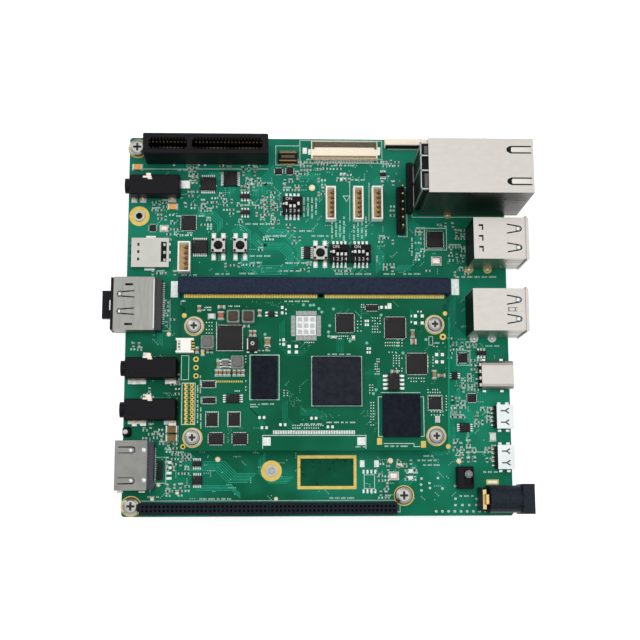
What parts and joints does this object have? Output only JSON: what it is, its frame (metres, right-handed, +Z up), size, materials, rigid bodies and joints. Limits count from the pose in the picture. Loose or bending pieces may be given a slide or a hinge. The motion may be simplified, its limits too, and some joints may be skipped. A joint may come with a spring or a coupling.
{
  "type": "computer-on-module development kit",
  "caption": "Processor module seated in an edge connector and screwed to a square carrier board with ports, card slot, headers, switches and legs.",
  "frame": {"origin": "on the table, under the middle of the kit's outline", "axes": "+Z up out of the carrier, +X towards the Ethernet and USB side, +Y towards the card-slot side"},
  "size_m": [0.1312, 0.12, 0.0388],
  "materials": {
    "board_mask": "green solder mask on glass-epoxy laminate",
    "chip_epoxy": "moulded chip epoxy",
    "navy_plastic": "dark blue moulded connector plastic",
    "black_plastic": "black moulded connector plastic",
    "cream_plastic": "cream moulded connector plastic",
    "white_plastic": "white moulded slider plastic",
    "grey_plastic": "grey moulded lever plastic",
    "blue_plastic": "blue moulded socket plastic",
    "nickel_shell": "nickel-plated folded sheet",
    "screw_steel": "bright zinc-plated steel",
    "leg_brass": "turned brass standoff"
  },
  "bodies": {
    "kit": {"carrier_board": "board_mask", "module_board": "board_mask", "processor": "chip_epoxy", "memory_chip": "chip_epoxy", "storage_chip": "chip_epoxy", "module_connector": "navy_plastic", "module_screw_1": "screw_steel", "module_screw_2": "screw_steel", "module_screw_3": "screw_steel", "module_screw_4": "screw_steel", "carrier_screw_1": "screw_steel", "carrier_screw_2": "screw_steel", "carrier_screw_3": "screw_steel", "carrier_screw_4": "screw_steel", "leg_1": "leg_brass", "leg_2": "leg_brass", "leg_3": "leg_brass", "leg_4": "leg_brass", "ethernet_shell": "nickel_shell", "ethernet_housing": "black_plastic", "usb2_shell": "nickel_shell", "usb2_housing": "black_plastic", "usb3_shell": "nickel_shell", "usb3_housing": "blue_plastic", "usb_c_port": "nickel_shell", "micro_usb_port_1": "nickel_shell", "micro_usb_port_2": "nickel_shell", "power_switch": "black_plastic", "dc_jack": "black_plastic", "audio_jack_1": "black_plastic", "audio_jack_2": "black_plastic", "audio_jack_3": "black_plastic", "displayport_shell": "nickel_shell", "displayport_dust_cap": "black_plastic", "hdmi_port": "nickel_shell", "sim_socket": "nickel_shell", "pcie_slot": "black_plastic", "display_connector": "cream_plastic", "debug_header": "black_plastic", "expansion_header_1": "black_plastic", "expansion_header_2": "black_plastic", "dip_switch_1": "black_plastic", "dip_switch_2": "black_plastic", "dip_switch_3": "black_plastic"},
    "power_lever": {"power_switch_lever": "grey_plastic"},
    "button_1": {"reset_button_1": "black_plastic"},
    "button_2": {"reset_button_2": "black_plastic"},
    "button_3": {"reset_button_3": "black_plastic"},
    "slider_1_1": {"dip_slider_1_1": "white_plastic"},
    "slider_1_2": {"dip_slider_1_2": "white_plastic"},
    "slider_1_3": {"dip_slider_1_3": "white_plastic"},
    "slider_1_4": {"dip_slider_1_4": "white_plastic"},
    "slider_2_1": {"dip_slider_2_1": "white_plastic"},
    "slider_2_2": {"dip_slider_2_2": "white_plastic"},
    "slider_2_3": {"dip_slider_2_3": "white_plastic"},
    "slider_2_4": {"dip_slider_2_4": "white_plastic"},
    "slider_3_1": {"dip_slider_3_1": "white_plastic"},
    "slider_3_2": {"dip_slider_3_2": "white_plastic"},
    "slider_3_3": {"dip_slider_3_3": "white_plastic"},
    "slider_3_4": {"dip_slider_3_4": "white_plastic"}
  },
  "joints": [
    {"name": "power_lever_slide", "type": "slide", "parent": "kit", "child": "power_lever", "axis": [0, 1, 0], "range_m": [-0.002, 0]},
    {"name": "button_1_press", "type": "slide", "parent": "kit", "child": "button_1", "axis": [0, 0, -1], "range_m": [0, 0.00025], "stiffness_N_per_m": 2000, "springref_m": -0.0005},
    {"name": "button_2_press", "type": "slide", "parent": "kit", "child": "button_2", "axis": [0, 0, -1], "range_m": [0, 0.00025], "stiffness_N_per_m": 2000, "springref_m": -0.0005},
    {"name": "button_3_press", "type": "slide", "parent": "kit", "child": "button_3", "axis": [0, 0, -1], "range_m": [0, 0.00025], "stiffness_N_per_m": 2000, "springref_m": -0.0005},
    {"name": "slider_1_1_slide", "type": "slide", "parent": "kit", "child": "slider_1_1", "axis": [0, 1, 0], "range_m": [-0.0008, 0]},
    {"name": "slider_1_2_slide", "type": "slide", "parent": "kit", "child": "slider_1_2", "axis": [0, 1, 0], "range_m": [0, 0.0008]},
    {"name": "slider_1_3_slide", "type": "slide", "parent": "kit", "child": "slider_1_3", "axis": [0, 1, 0], "range_m": [0, 0.0008]},
    {"name": "slider_1_4_slide", "type": "slide", "parent": "kit", "child": "slider_1_4", "axis": [0, 1, 0], "range_m": [-0.0008, 0]},
    {"name": "slider_2_1_slide", "type": "slide", "parent": "kit", "child": "slider_2_1", "axis": [0, 1, 0], "range_m": [-0.0008, 0]},
    {"name": "slider_2_2_slide", "type": "slide", "parent": "kit", "child": "slider_2_2", "axis": [0, 1, 0], "range_m": [0, 0.0008]},
    {"name": "slider_2_3_slide", "type": "slide", "parent": "kit", "child": "slider_2_3", "axis": [0, 1, 0], "range_m": [0, 0.0008]},
    {"name": "slider_2_4_slide", "type": "slide", "parent": "kit", "child": "slider_2_4", "axis": [0, 1, 0], "range_m": [0, 0.0008]},
    {"name": "slider_3_1_slide", "type": "slide", "parent": "kit", "child": "slider_3_1", "axis": [0, 1, 0], "range_m": [-0.0008, 0]},
    {"name": "slider_3_2_slide", "type": "slide", "parent": "kit", "child": "slider_3_2", "axis": [0, 1, 0], "range_m": [-0.0008, 0]},
    {"name": "slider_3_3_slide", "type": "slide", "parent": "kit", "child": "slider_3_3", "axis": [0, 1, 0], "range_m": [-0.0008, 0]},
    {"name": "slider_3_4_slide", "type": "slide", "parent": "kit", "child": "slider_3_4", "axis": [0, 1, 0], "range_m": [0, 0.0008]}
  ]
}
